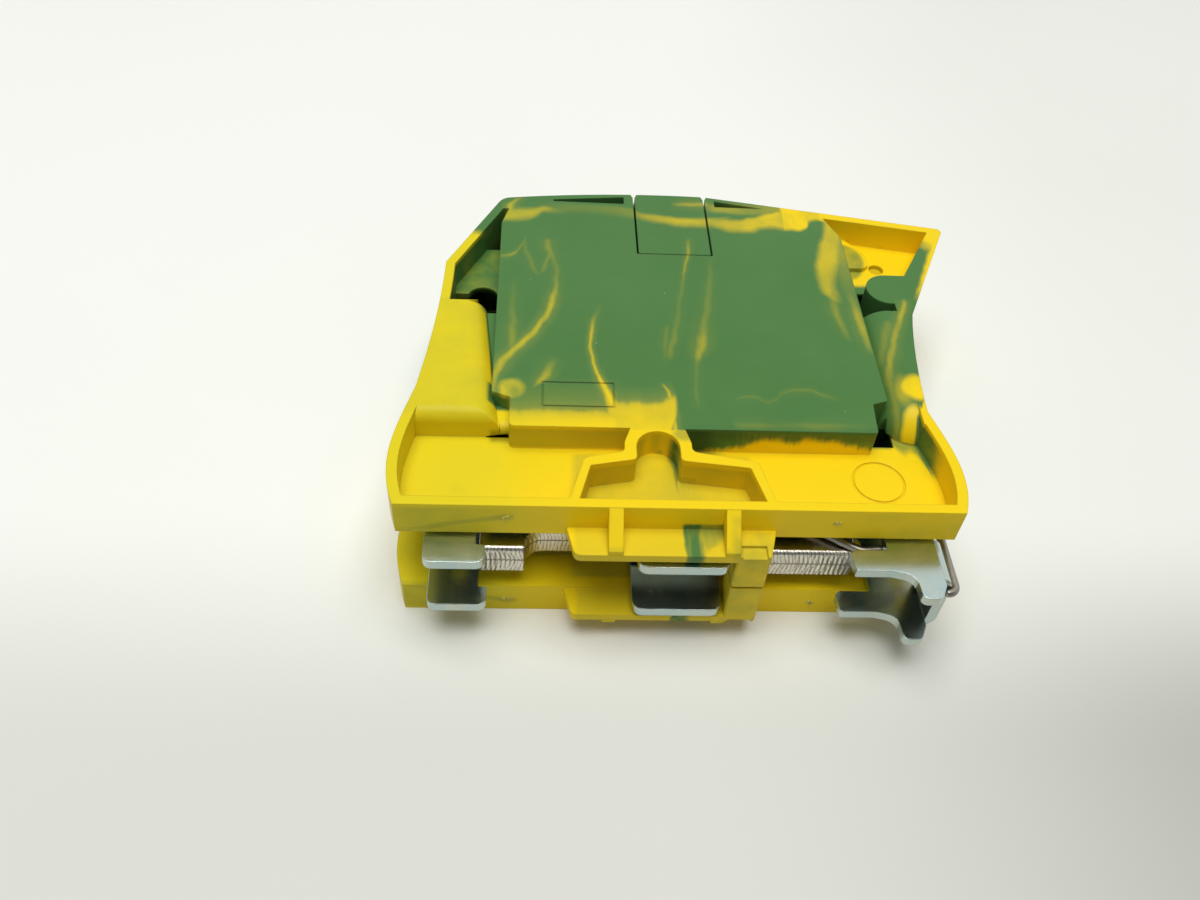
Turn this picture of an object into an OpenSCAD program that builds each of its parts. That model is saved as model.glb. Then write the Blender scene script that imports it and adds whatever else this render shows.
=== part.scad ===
// Earth terminal block for a 35 mm rail, lying on its side.
// Drawing frame: X along the foot, Y from the rail up to the block's top, Z through the block's thickness.

/* [Rail foot] */
// Width of the rail over its lips
rail_w = 35; // [30:0.5:40]
// Thickness of the rail's lip
rail_lip = 1; // [0.8:0.05:1.6]
// Play between the rail's lip and a tooth
lip_play = 0.05; // [0:0.05:0.3]
// Distance from the left end of the foot to the root of the left hook
hook_x = 7.2; // [6:0.1:9]
// Length of foot to the right of the rail
latch_zone = 9.04; // [8:0.1:12]
// Thickness of the steel sheet
sheet_t = 1; // [0.8:0.1:1.2]
// Width of the folded steel feet over their outer faces
fold_w = 7.6; // [7:0.1:9]
// How far a tooth reaches under the rail's lip
tooth_reach = 0.85; // [0.5:0.05:1.2]
// How far the hooks stand out of the foot
hook_drop = 3.1; // [2.6:0.1:4]
// How far the middle tongues stand out of the foot
tongue_drop = 3.4; // [2.6:0.1:4.5]
// Width of a middle tongue
tongue_w = 8.45; // [6:0.05:9]
// How far the release leg of the latch stands out of the foot
leg_drop = 6.4; // [5:0.1:8]
// Free travel of the latch
latch_travel = 2.5; // [1.5:0.1:3]
// Diameter of the latch's spring wire
wire_d = 0.8; // [0.6:0.05:1]

/* [Housing] */
// Thickness of the block along the rail
block_t = 16; // [15.6:0.1:20]
// Thickness of the outer rim
rim_t = 1; // [0.8:0.05:1.4]
// Thickness of the recessed web
web_t = 0.75; // [0.6:0.05:1.1]
// Thickness of the raised side panel
panel_t = 1.4; // [1:0.1:1.8]
// Distance from the left end of the foot to the raised panel
panel_left = 8.05; // [7.6:0.05:9]
// Distance from the right end of the foot to the raised panel
panel_right = 4.34; // [3.6:0.02:5]
// Distance from the rail to the front edge of the raised panel
panel_front = 9.7; // [9:0.1:11]
// Distance from the left end of the foot to the arch in the middle of the foot
arch_x = 23.8; // [22:0.1:26]
// Radius of the arch in the middle of the foot
arch_r = 2.05; // [1.6:0.05:2.4]
// Reach of the wing past the right end of the foot
wing_reach = 8; // [6:0.1:10]
// How far the lug stands out of the foot
lug_drop = 3.1; // [2.4:0.1:4]
// Width of the tab in the top edge
tab_w = 8.3; // [6:0.1:9.5]
// Thickness of the cover above a screw head
cover_t = 2.9; // [2.4:0.1:5]
// Play between a steel or copper piece and the housing
play = 0.35; // [0.2:0.05:0.4]

/* [Contact] */
// Thickness of one contact strip
strip_t = 1.65; // [1.2:0.05:1.8]
// Width of the left contact pad
pad_left_w = 4.1; // [3:0.1:5]
// Width of the right contact pad
pad_right_w = 9.4; // [6:0.1:11]
// Height of the contact strip above the rail
strip_h = 6.6; // [5.5:0.1:7]
// Set-back of the strip between its pads
strip_back = 2.4; // [1.5:0.1:3]
// Width of the neck that carries the strip up to the current bar
neck_w = 7; // [5:0.1:8]
// Pitch of the fine teeth on a pad
tooth_pitch = 0.45; // [0.35:0.05:1.2]
// Depth of the fine teeth on a pad
tooth_depth = 0.08; // [0.04:0.02:0.3]

/* [Clamps] */
// Height of the conductor's axis above the rail
wire_y = 20.75; // [20:0.05:23]
// Clear height of an open clamp
opening = 9.5; // [8:0.1:10.5]
// Radius of the conductor's bore
entry_r = 5.2; // [4.4:0.1:5.6]
// Width of a clamp yoke along the conductor
yoke_w = 9; // [7:0.1:9.2]
// Thickness of a yoke's sides
yoke_side = 1.6; // [1.2:0.1:2]
// Thickness of a yoke's floor
yoke_floor = 2; // [1.5:0.1:2.4]
// Thickness of a yoke's threaded top
yoke_top = 4; // [3:0.1:5]
// Thickness of the current bar
bar_t = 2; // [1.5:0.1:2.5]
// Diameter of a clamp screw
screw_d = 6; // [5:0.1:6.4]
// Diameter of a screw head
head_d = 8.8; // [8:0.1:9]
// Height of a screw head
head_h = 2.7; // [2:0.1:3.2]

/* [Hidden] */

$fn = 48;
eps = 0.02;
far = 200;
yellow = [0.93, 0.80, 0.10];
green = [0.30, 0.49, 0.29];
zinc = [0.74, 0.77, 0.76];
tin = [0.82, 0.80, 0.74];
copper = [0.80, 0.50, 0.33];
grey = [0.45, 0.45, 0.45];

// Levels through the thickness, for the upper half
mid_z = block_t / 2;
gap_half = fold_w / 2 + play;
web_low = mid_z + gap_half;
web_high = web_low + web_t;
groove_z = block_t - 1.8;
panel_low = block_t - panel_t;

// The clamp stack along Y
running = 0.05;
bar_y = wire_y + opening / 2;
bar_top = bar_y + bar_t;
yoke_y = wire_y - opening / 2 - yoke_floor;
thread_y = bar_top + 0.7;
yoke_end = thread_y + yoke_top;
clamp_travel = opening - 0.5;
bar_half = mid_z - panel_t - play - yoke_side - 0.3;
yoke_half = mid_z - panel_t - play + 0.1;
chamber_end = yoke_end + clamp_travel + 0.2;
head_y = chamber_end + 0.2;
head_end = head_y + head_h;
well_end = head_end + 0.6;
block_h = well_end + cover_t;

// Places along X
foot_w = hook_x + rail_w + latch_zone;
wing_x = foot_w + wing_reach;
panel_x0 = panel_left;
panel_x1 = foot_w - panel_right;
notch_w = 1.8;
wall = 1.2;
chamber_w = yoke_w + 0.7;
chamber_left = panel_x0 + notch_w + wall - 0.2;
chamber_right = panel_x1 - notch_w - wall + 0.2 - chamber_w;
clamp_left = chamber_left + chamber_w / 2;
clamp_right = chamber_right + chamber_w / 2;
middle_x0 = chamber_left + chamber_w + 1.4;
middle_x1 = chamber_right - 1.4;
middle_x = (middle_x0 + middle_x1) / 2;
tab_x0 = middle_x - tab_w / 2;
tab_x1 = middle_x + tab_w / 2;
floor_y = panel_front - 0.7;

// Rail foot
tooth_y = -(rail_lip + lip_play);
rail_x1 = hook_x + rail_w;
latch_x0 = rail_x1 - tooth_reach;
latch_root = latch_x0 + 3.45;
latch_x1 = foot_w - 0.8;
sheet_high = mid_z + fold_w / 2;
sheet_low = sheet_high - sheet_t;
tongue_x = arch_x - 2.06;
strip_high = mid_z + strip_t;

// Curves and outlines

function bezier(a, b, c, d, n) = [for (i = [0:n]) let (t = i / n, s = 1 - t)
    s * s * s * a + 3 * s * s * t * b + 3 * s * t * t * c + t * t * t * d];

function arc(c, r, a0, a1, n) = [for (i = [0:n]) let (a = a0 + (a1 - a0) * i / n)
    c + r * [cos(a), sin(a)]];

function unit(v) = v / norm(v);

// Corner b between a and c, rounded with radius r by n steps
function round_corner(a, b, c, r, n) =
    let (u = unit(a - b), v = unit(c - b), half = acos(max(-1, min(1, u * v))) / 2)
    r <= 0 || half > 89.5 ? [b] :
    let (t = r / tan(half), o = b + unit(u + v) * r / sin(half), p = b + u * t, q = b + v * t)
    [for (i = [0:n]) let (m = unit((p - o) * (n - i) / n + (q - o) * i / n)) o + r * m];

// An outline of corners [x, y, radius]
function soften(corners, n = 5) =
    let (k = len(corners), p = [for (c = corners) [c[0], c[1]]])
    [for (i = [0:k - 1]) each round_corner(p[(i + k - 1) % k], p[i], p[(i + 1) % k], corners[i][2], n)];

// A closed outline that runs counter-clockwise, moved inwards by d
function inset(p, d) =
    let (k = len(p))
    [for (i = [0:k - 1])
        let (u = unit(p[i] - p[(i + k - 1) % k]), v = unit(p[(i + 1) % k] - p[i]),
            m = unit([-u[1] - v[1], u[0] + v[0]]), s = m * [-u[1], u[0]])
        p[i] + m * d / max(s, 0.5)];

// The side view of the block

top_drop = 1.55;
top_flat = block_h - 0.2;
wing_top = top_flat - (wing_x - tab_x1 - 0.6) * 0.177;
chamfer = [2.3, chamber_end - 7.4];
shoulder = [8, block_h - top_drop];

waist_left = [0.74, 14.6];
waist_right = [foot_w - 0.62, 12.8];
neck_right = [foot_w + 1.15, 27.3];

foot_left = bezier(waist_left, [-0.68, 9.03], [-1.96, 5.11], [0, 0], 12);
foot_right = bezier([foot_w, 0], [foot_w + 1.75, 4.4], [foot_w + 0.55, 8.2], waist_right, 12);
flank_right = bezier(waist_right, waist_right + [0.12, 4.7], neck_right - [0.95, 4.1], neck_right, 8);
flank_left = bezier(chamfer, chamfer - [0.05, 6.9], waist_left + [0.96, 6.57], waist_left, 8);
function wing(r) = soften([[neck_right[0], neck_right[1], 0], [wing_x + 0.2, wing_top, r],
    [tab_x1 + 0.6, top_flat, 0]]);
crown_steps = 10;
crown = [for (i = [0:crown_steps])
    let (x = tab_x1 - (tab_x1 - shoulder[0]) * i / crown_steps, u = (middle_x - 0.4 - x) / 19)
    [x, block_h - top_drop * u * u]];
left_top = round_corner(crown[crown_steps - 1], shoulder, chamfer, 1.6, 5);

function without_ends(p) = [for (i = [1:len(p) - 2]) p[i]];

function side_view(r) = concat(foot_right, without_ends(flank_right), wing(r),
    [for (i = [0:crown_steps - 1]) crown[i]], left_top, flank_left, without_ends(foot_left), [[0, 0]]);

wing_r = 0.6;
outline = side_view(wing_r);
rim_inside = inset(side_view(wing_r + rim_t), rim_t);

notch_y = panel_front + 4.4;
panel = soften([[panel_x0 + notch_w, panel_front, 0.5], [panel_x1 - notch_w, panel_front, 0.3],
    [panel_x1 - notch_w + 0.25, notch_y - 0.5, 0.2], [panel_x1, notch_y, 0.25],
    [panel_x1, chamber_end - 0.6, 4], [panel_x1 - 1.6, block_h - 3.2, 0], [panel_x1 - 1.6, far, 0],
    [panel_x0 + 0.9, far, 0], [panel_x0 + 0.9, block_h - 3, 0.6], [panel_x0, chamber_end, 1.5],
    [panel_x0, notch_y + 0.1, 0.25], [panel_x0 + notch_w, notch_y - 0.6, 0.3]]);

saddle_y0 = wire_y - 9.7;
saddle_y1 = wire_y + 7;
nose_x = panel_x0 + 0.85;
groove_h = 3;
saddle_left = [[-2, saddle_y0], [nose_x, saddle_y0], [nose_x, saddle_y0 + groove_h],
    [panel_x0 + 0.3, saddle_y0 + groove_h], [panel_x0 + 0.3, saddle_y1], [-2, saddle_y1]];
saddle_right = [[foot_w + 4, saddle_y0], [foot_w + 4, saddle_y1 + 0.1], [panel_x1 - 0.3, saddle_y1 + 0.1],
    [panel_x1 - 0.3, saddle_y0]];

// The rolled edges of the saddles: along the left front, and from front to back
roll_front_r = 1.3;
roll_left_r = 2.4;
roll_left = [[nose_x, saddle_y0 - 0.3], [panel_x0 - 1, saddle_y1 + 0.1]];
roll_right_r = 3.4;
roll_right_x = panel_x1 - 0.4;
nose_right = [roll_right_x + roll_right_r, saddle_y0 + roll_right_r];

boss = [panel_x1 + 3.7, saddle_y1 + 3.75];
boss_r = 2.4;
pocket_y = block_h - 3.6;
front_slot = 0.45;

// The hole in the corner between the panel and the right saddle, which reaches under the nose
corner_hole = [panel_x1 - notch_w + 0.3, saddle_y0 - 0.35];
corner_hole_h = 2.75;
under_nose = 0.7;

// The broad band of the rim along the right of the wing
wing_band = [[foot_w + 1, saddle_y1 + 0.1], [wing_x + 2, wing_top], [wing_x - 1.85, wing_top - 0.75],
    [foot_w + 1.7, saddle_y1 + 6.2], [foot_w - 0.4, saddle_y1 + 1.5], [foot_w - 0.4, saddle_y1 + 0.1]];

// The round-ended pad on the floor of the wing
pad_rise = 10.6;
pad_w = 3.9;
pad_h = 2.8;
pad_t = 0.5;
pad_y = saddle_y1 + pad_rise;
pad = soften([[panel_x1 - 2, wing_top + 2.2, 0], [panel_x1 - 2, pad_y, 0], [panel_x1 + pad_w, pad_y, 1.2],
    [panel_x1 + pad_w - 0.5, pad_y + pad_h, 2], [panel_x1 + 1.2, wing_top + 1.6, 1]]);

// The round hollow beside the pad
dimple = [panel_x1 + pad_w + 0.7, pad_y + 0.5];
dimple_r = 0.85;
dimple_d = 0.5;

// The rib frame in the middle of the foot
arch_y = 7.3;
rib_t = 1.1;
rib_x = arch_r + rib_t;
rib_outer = soften([[arch_x - 8.4, 0.5, 0], [arch_x + 10.4, 0.5, 0], [arch_x + 9.2, 5.7, 0.8],
    [arch_x + rib_x, 6.85, 0.6], [arch_x + rib_x, 7.9, 1], [arch_x + rib_x - 0.6, panel_front + 0.5, 0],
    [arch_x - rib_x + 0.8, panel_front + 0.5, 0], [arch_x - rib_x, 7.9, 1], [arch_x - rib_x, 6.75, 0.6],
    [arch_x - 6.9, 5.9, 0.8]]);
rib_inner = soften([[arch_x - arch_r, 5.8, 0.5], [arch_x - 6.35, 4.95, 0.25], [arch_x - 7.4, rim_t, 0],
    [arch_x + 9.4, rim_t, 0], [arch_x + 8.4, 4.95, 0.25], [arch_x + arch_r, 5.7, 0.5],
    [arch_x + arch_r, arch_y, 0], [arch_x - arch_r, arch_y, 0]]);

// Shapes

// A solid of the outline p between two levels
module slab(p, low, high) {
    translate([0, 0, low]) linear_extrude(high - low) polygon(p);
}

// A box between two corners
module block(a, b) {
    translate(a) cube(b - a);
}

// A solid of an outline [y, z] between two places along X
module along_x(p, x0, x1) {
    translate([x0, 0, 0]) rotate([90, 0, 90]) linear_extrude(x1 - x0) polygon(p);
}

// A solid of an outline [x, z] between two places along Y
module along_y(p, y0, y1) {
    translate([0, y1, 0]) rotate([90, 0, 0]) linear_extrude(y1 - y0) polygon(p);
}

// A round bar along Y
module post_y(x, y0, y1, r, r2) {
    translate([x, y0, mid_z]) rotate([-90, 0, 0]) cylinder(h = y1 - y0, r1 = r, r2 = r2);
}

// A round bar along X
module post_x(x0, x1, y, r, r2) {
    translate([x0, y, mid_z]) rotate([0, 90, 0]) cylinder(h = x1 - x0, r1 = r, r2 = r2);
}

// What rolls off the edge from a to b at the level top, with radius r and down to the level low.
// The solid lies to the left of the edge, and a faint crease marks where the roll starts.
module rolled_edge(a, b, r, top, low) {
    way = b - a;
    crease = 0.02;
    translate([a[0], a[1], 0]) rotate([0, 0, atan2(way[1], way[0])]) difference() {
        block([0, -3, max(low, top - r)], [norm(way), r, top + 1]);
        translate([-1, r, top - r + crease]) rotate([0, 90, 0]) cylinder(h = norm(way) + 2, r = r);
    }
}

// Moves the drawing frame's origin to the middle of the part
leg_y = -leg_drop;
centre = [(min([for (p = outline) p[0]]) + max([for (p = outline) p[0]])) / 2,
    (leg_y + max([for (p = outline) p[1]])) / 2];

module placed() {
    translate([-centre[0], -centre[1], 0]) children();
}

module lower_half() {
    translate([0, 0, block_t]) mirror([0, 0, 1]) children();
}

// Housing

pins = [[3.4, saddle_y0 + 1.7, 0.8], [panel_x1 + 1.9, saddle_y0 + 1.9, 0.8], [boss[0], boss[1], 1.1],
    [panel_x0 + 1.1, chamber_end + 1.7, 0.6]];
pin_h = 2.4;
pin_play = 0.05;
stud_r = 0.8;
stud_y = strip_h / 2 + 1.2;
frame_studs = [5, tongue_x + 5.2];
latch_stud = latch_root - 0.6;

// What stands up to the rim inside the recess
module raised_forms() {
    slab(panel, 0, far);
    slab(saddle_left, 0, far);
    slab(saddle_right, 0, far);
    difference() {
        slab(rib_outer, 0, far);
        slab(rib_inner, -1, far + 1);
        translate([arch_x, arch_y, -1]) cylinder(h = far + 2, r = arch_r);
    }
    boss_post();
    slab(wing_band, 0, far);
    block([-5, pocket_y, 0], [panel_x0 + 2, far, far]);
    slab(pad, 0, web_high + pad_t);
    block([panel_x0 - 1.4, saddle_y0, 0], [panel_x0 + notch_w + 0.3, saddle_y0 + groove_h, groove_z]);
}

// The round-ended boss on the right rim
module boss_post() {
    translate([boss[0], boss[1], 0]) cylinder(h = far, r = boss_r);
    block([boss[0], boss[1] - boss_r, 0], [boss[0] + 3.5, boss[1] + boss_r, far]);
}

// What leaves a ball of radius r in front of the middle c and to the left of it
module round_nose(c, r, low) {
    difference() {
        block([c[0] - r - 0.2, c[1] - r - 1, low], [c[0], c[1], block_t + 1]);
        translate([c[0], c[1], block_t - r]) sphere(r + eps);
    }
}

// The rolled edges of the saddles over the conductor entries
module saddle_rolls() {
    difference() {
        intersection() {
            slab(rim_inside, web_high, block_t + 1);
            union() {
                rolled_edge([-2, saddle_y0], [panel_x0 + 1, saddle_y0], roll_front_r, block_t, web_high);
                rolled_edge(roll_left[0], roll_left[1], roll_left_r, block_t, groove_z);
                rolled_edge([nose_x, saddle_y0], [panel_x0 + notch_w, saddle_y0], 1, groove_z, web_high);
                rolled_edge([roll_right_x, saddle_y1 + 0.2], [roll_right_x, nose_right[1]], roll_right_r,
                    block_t, groove_z);
                round_nose(nose_right, roll_right_r, web_high);
            }
        }
        slab(panel, 0, far);
        boss_post();
    }
}

module recess() {
    difference() {
        slab(rim_inside, web_high, block_t + 1);
        raised_forms();
    }
}

// Holes in the web beside the panel, which open into the side chambers
module web_holes() {
    low = mid_z + 0.5;
    high = block_t + 1;
    hole_h = 4.7;
    hole_r = 1.65;
    intersection() {
        slab(rim_inside, low, high);
        union() {
            block([-5, saddle_y1 + 0.1, low], [panel_x0 - 0.05, saddle_y1 + hole_h, high]);
            translate([panel_x0 - hole_r - 0.1, saddle_y1 + hole_h - 0.5, low])
                cylinder(h = high - low, r = hole_r);
            difference() {
                block([-5, chamber_end - 1, low], [panel_x0 + 0.6, pocket_y, high]);
                slab(panel, 0, far);
            }
        }
    }
    difference() {
        slab(soften([[panel_x1 + 0.05, saddle_y1 + 0.1, 0], [foot_w - 0.4, saddle_y1 + 0.1, 0],
            [foot_w - 0.4, saddle_y1 + 2, 0.4], [boss[0], saddle_y1 + 2, 0], [boss[0], saddle_y1 + 6.6, 0],
            [panel_x1 + 0.05, saddle_y1 + 6.6, 0]]), low, high);
        boss_post();
    }
    along_y([[panel_x0 - 0.4, web_low - 1], [panel_x0 + notch_w - 0.1, web_low - 1],
        [panel_x0 + notch_w - 0.1, web_high + front_slot], [panel_x0 + 0.8, web_high + front_slot - 0.1],
        [panel_x0 - 0.4, web_high + 0.1]], saddle_y0 - 0.05, saddle_y0 + 1.2);
    block([corner_hole[0], corner_hole[1], low],
        [panel_x1 + under_nose, corner_hole[1] + corner_hole_h, web_high + 0.2]);
    block([corner_hole[0], corner_hole[1], low],
        [panel_x1 + 0.2, corner_hole[1] + corner_hole_h, high]);
    translate([dimple[0], dimple[1], web_high - dimple_d]) cylinder(h = 2, r = dimple_r);
}

// The hollow of one clamp with its conductor entry and screw well
module clamp_hollow(chamber, axis_x, mouth, side) {
    block([chamber, panel_front + wall, mid_z - 1], [chamber + chamber_w, chamber_end, panel_low]);
    post_y(axis_x, chamber_end - 1, well_end, head_d / 2 + 0.3, head_d / 2 + 0.3);
    post_y(axis_x, well_end - 1, far, head_d / 2 - 0.5, head_d / 2 - 0.5);
    if (side < 0) {
        post_x(mouth - 3, chamber + 1, wire_y, entry_r, entry_r);
        post_x(mouth - 2, mouth + 4.5, wire_y, entry_r + 1.9, entry_r);
    } else {
        post_x(chamber + chamber_w - 1, mouth + 3, wire_y, entry_r, entry_r);
        post_x(mouth - 4.5, mouth + 2, wire_y, entry_r, entry_r + 1.9);
    }
}

mouth_left = 1.5;

// The inside of the upper half
module hollow() {
    block([-far, -far, mid_z - 1], [far, floor_y, web_low]);
    clamp_hollow(chamber_left, clamp_left, mouth_left, -1);
    clamp_hollow(chamber_right, clamp_right, foot_w, 1);
    block([middle_x0, panel_front + wall, mid_z - 1], [middle_x1, block_h - 2.4, panel_low]);
    block([middle_x - neck_w / 2 - 0.1, floor_y - 1, mid_z - 1],
        [middle_x + neck_w / 2 + 0.1, panel_front + wall + 1, strip_high + 0.1]);
    block([chamber_left + 0.2, bar_y - running, mid_z - 1],
        [chamber_right + chamber_w - 0.2, bar_top + 0.1, mid_z + bar_half + 0.1]);
    intersection() {
        slab(rim_inside, mid_z - 1, web_low);
        union() {
            block([-5, saddle_y1 + 0.1, 0], [panel_x0 + 1.2, pocket_y, far]);
            difference() {
                block([panel_x1 - 1, saddle_y1 + 0.2, 0], [far, block_h, far]);
                translate([boss[0], boss[1], 0]) cylinder(h = far, r = boss_r);
            }
        }
    }
}

// The slots in the top edge and the score lines of the tab
module edge_cuts() {
    slot_y = block_h - 1.95;
    slot_low = block_t - 3;
    slot_x0 = tab_x0 - 9.42;
    tab_h = 11.3;
    tab_y = block_h - tab_h;
    score_w = 0.22;
    bend_w = 0.14;
    slab([[slot_x0, slot_y + 0.1], [tab_x0 - 1.2, slot_y - 0.02], [tab_x0 - 1.2, block_h - 0.62],
        [slot_x0, slot_y + 0.45]], slot_low, block_t + 1);
    slab([[tab_x1 + 1.2, slot_y - 0.05], [tab_x1 + 7, slot_y - 0.1], [tab_x1 + 1.2, block_h - 0.85]],
        slot_low, block_t + 1);
    for (x = [tab_x0, tab_x1]) {
        block([x - score_w / 2, tab_y, panel_low - 0.5], [x + score_w / 2, far, block_t + 1]);
        slab([[x - 0.08, block_h - 0.75], [x + 0.08, block_h - 0.75], [x + 0.45, block_h + 0.2],
            [x - 0.45, block_h + 0.2]], block_t - 1.2, block_t + 1);
    }
    block([tab_x0, tab_y - bend_w / 2, block_t - 0.12], [tab_x1, tab_y + bend_w / 2, block_t + 1]);
}

// The lug in front of the foot, with its ribs and the block that meets the other half
module lug(split) {
    lug_t = 0.85;
    lug_low = web_low + 0.1;
    lug_high = lug_low + lug_t;
    lug_x0 = arch_x - 8.5;
    lug_x1 = arch_x + 10.6;
    ribs = [arch_x - 4.8, arch_x + 5.65];
    rib_w = 1.3;
    rib_front = -lug_drop + 0.05;
    block_x = arch_x + 6.75;
    difference() {
        slab(soften([[lug_x0 - 0.05, 0.5, 0], [lug_x0, 0, 0], [lug_x0 + 0.75, -lug_drop, 0.7],
            [lug_x1 - 0.8, -lug_drop, 0.3], [lug_x1, 0, 0], [lug_x1, 0.5, 0]]), lug_low, lug_high);
        block([block_x + 0.45, -lug_drop - 1, lug_high - 0.3], [lug_x1 - 1.1, -lug_drop + 1.3, lug_high + 1]);
    }
    for (x = ribs) {
        along_x([[0.5, lug_low + 0.1], [0.5, block_t - 0.05], [0, block_t - 0.05],
            [rib_front, lug_high + 0.45], [rib_front, lug_low + 0.1]], x, x + rib_w);
    }
    slab(soften([[block_x, -0.3, 0], [block_x, -lug_drop, 0.3], [lug_x1 - 0.8, -lug_drop, 0.3],
        [lug_x1 - 0.1, -0.3, 0]]), mid_z + split, lug_low + 0.1);
}

// Studs under the web that carry the steel feet
module studs() {
    for (x = frame_studs) {
        translate([x, stud_y, sheet_low]) cylinder(h = web_low - sheet_low + 0.1, r = stud_r);
    }
    translate([latch_stud, stud_y, sheet_low]) cylinder(h = web_low - sheet_low + 0.1, r = stud_r);
}

// Sunk lines: the ring on the floor and the field on the panel
module marks() {
    mark_d = 0.12;
    line_w = 0.16;
    ring = [panel_x1 - 1.7, 6.2];
    ring_r = 2.55;
    field_w = 7.05;
    field_h = 3.4;
    field_x0 = panel_x0 + 4.85;
    field_x1 = field_x0 + field_w;
    field_y0 = panel_front + 2.65;
    field_y1 = field_y0 + field_h;
    translate([ring[0], ring[1], web_high - mark_d]) difference() {
        cylinder(h = 1, r = ring_r);
        translate([0, 0, -1]) cylinder(h = 3, r = ring_r - line_w);
    }
    difference() {
        block([field_x0, field_y0, block_t - mark_d], [field_x1, field_y1, block_t + 1]);
        block([field_x0 + line_w, field_y0 + line_w, 0], [field_x1 - line_w, field_y1 - line_w, far]);
    }
}

module shell(split) {
    difference() {
        slab(outline, mid_z, block_t);
        recess();
        saddle_rolls();
        web_holes();
        hollow();
        edge_cuts();
        marks();
    }
    lug(split);
    studs();
}

module upper_shell() {
    color(green) placed() difference() {
        shell(0.6);
        for (p = pins) {
            translate([p[0], p[1], mid_z - 1]) cylinder(h = pin_h + 1.1, r = p[2] + pin_play);
        }
    }
}

module lower_shell() {
    color(yellow) placed() {
        lower_half() shell(-0.25);
        for (p = pins) {
            translate([p[0], p[1], mid_z - 1]) cylinder(h = pin_h + 1, r = p[2]);
        }
    }
}

// Steel feet

frame_y = floor_y - running;
frame_x0 = 2.53;
frame_x1 = middle_x0 - 2;

// The side of the fixed foot, with the hook on the left and the tongue in the middle
module frame_side() {
    rail_edge = strip_back + 1.3;
    difference() {
        slab(soften([[frame_x0, frame_y, 0], [frame_x0, -hook_drop, 0.8],
            [hook_x + tooth_reach, -hook_drop, 0.8], [hook_x + tooth_reach, tooth_y, 0.25],
            [hook_x, tooth_y, 0.2], [hook_x, rail_edge, 0.8],
            [tongue_x, rail_edge, 0.8], [tongue_x, -tongue_drop, 1], [tongue_x + tongue_w, -tongue_drop, 1],
            [tongue_x + tongue_w, strip_h, 0.6], [frame_x1, strip_h, 0], [frame_x1, frame_y, 0]]),
            sheet_low, sheet_high);
        for (x = frame_studs) {
            translate([x, stud_y, 0]) cylinder(h = far, r = stud_r + running);
        }
    }
}

module foot_frame() {
    color(zinc) placed() {
        frame_side();
        lower_half() frame_side();
        block([frame_x0, frame_y - sheet_t, block_t - sheet_low - eps], [frame_x1, frame_y, sheet_low + eps]);
    }
}

web_end = -4.2;
web_top = 0.3;
leg_x1 = latch_x1 - sheet_t;
leg_x0 = leg_x1 - 2.4;

// The side of the latch: tooth, release leg and the arm with its guide slot
module latch_side() {
    arm_x = latch_stud - latch_travel - stud_r - 2;
    arm_y0 = 1.7;
    arm_y1 = stud_y + 2.2;
    tooth_low = -hook_drop - 0.3;
    slot_x0 = latch_stud - latch_travel - 0.1;
    difference() {
        slab(soften([[latch_x0, tooth_y - 0.4, 0.1], [latch_x0 + 0.5, tooth_y, 0.3],
            [latch_root, tooth_y, 0.2], [latch_root, arm_y0, 0.5], [arm_x, arm_y0, 0.5],
            [arm_x, arm_y1, 0.5], [leg_x1, arm_y1, 0.5],
            [leg_x1, web_top, 0], [leg_x1, web_end, 0], [leg_x1, leg_y + 1.5, 0.4],
            [leg_x1 - 0.7, leg_y, 0.7], [leg_x0, leg_y, 0.6], [leg_x0 - 0.15, tooth_low - 0.5, 1.3],
            [leg_x0 - 2.2, tooth_low, 1.5], [latch_x0 + 0.2, tooth_low, 0.2]]), sheet_low, sheet_high);
        translate([slot_x0, stud_y, 0]) cylinder(h = far, r = stud_r + running);
        translate([latch_stud, stud_y, 0]) cylinder(h = far, r = stud_r + running);
        block([slot_x0, stud_y - stud_r - running, 0], [latch_stud, stud_y + stud_r + running, far]);
    }
}

module latch_foot() {
    r = sheet_t * 1.4;
    color(zinc) placed() {
        latch_side();
        lower_half() latch_side();
        difference() {
            along_y(soften([[leg_x1 - eps, block_t - sheet_high, 0], [latch_x1, block_t - sheet_high, r],
                [latch_x1, sheet_high, r], [leg_x1 - eps, sheet_high, 0]]), web_end, web_top);
            block([0, -far, block_t - sheet_low], [leg_x1, far, sheet_low]);
        }
    }
}

// Latch spring

wire_z = (strip_high + sheet_low) / 2;
wire_r = wire_d / 2;
spring_x = latch_x1 + wire_r + running;
hook_y = web_end - wire_r - running;
hold_x = 8.5;
low_run = 2.5;
bow_h = 3;
hook_w = 1.1;
spring_path = [for (p = soften([[arch_x + hold_x, strip_h - 0.3, 0], [rail_x1 + 0.8, 0, 1.5],
    [rail_x1 + 0.8 + low_run, 0.3, 2], [spring_x, bow_h, 0.9], [spring_x, hook_y, 0.8],
    [spring_x - hook_w, hook_y, 0]], 6))
    [p[0], p[1], wire_z]];

function tangent(p, i) = unit(p[min(i + 1, len(p) - 1)] - p[max(i - 1, 0)]);
function carried(v, t) = unit(v - (v * t) * t);
function frames(p, i, v) = i >= len(p) ? [] :
    let (t = tangent(p, i), n = carried(v, t)) concat([[t, n]], frames(p, i + 1, n));

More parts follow.
